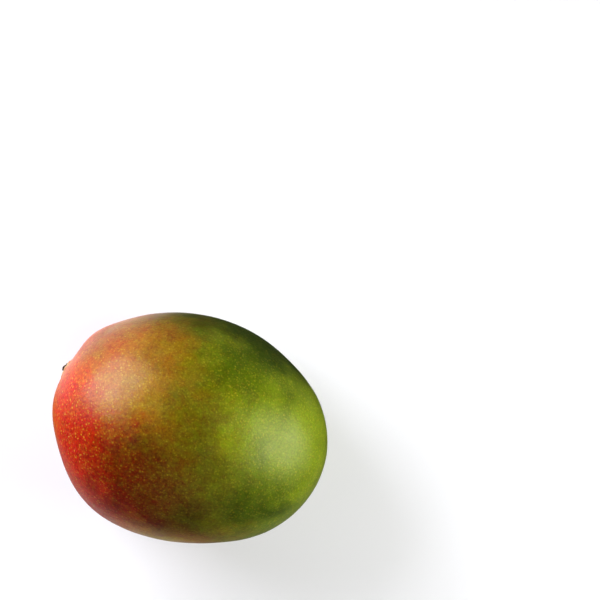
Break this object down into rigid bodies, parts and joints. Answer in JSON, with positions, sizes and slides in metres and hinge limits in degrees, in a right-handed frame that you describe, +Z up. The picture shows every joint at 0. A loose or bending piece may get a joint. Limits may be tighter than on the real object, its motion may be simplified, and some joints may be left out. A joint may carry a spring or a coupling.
{
  "type": "mango",
  "caption": "Whole ripe mango, red blushing to green, lying on its cheek, with the short snapped stub of its stalk.",
  "frame": {"origin": "on the surface that the mango lies on, under the middle of its bounding box", "axes": "+X from the stalk end to the tip, +Y towards the mango's back edge, +Z up, from cheek to cheek"},
  "size_m": [0.1232, 0.1006, 0.0898],
  "materials": {
    "skin": "satin, waxy",
    "stalk": "dry, rough"
  },
  "bodies": {
    "root": {"fruit": "skin", "stalk": "stalk"}
  },
  "joints": []
}
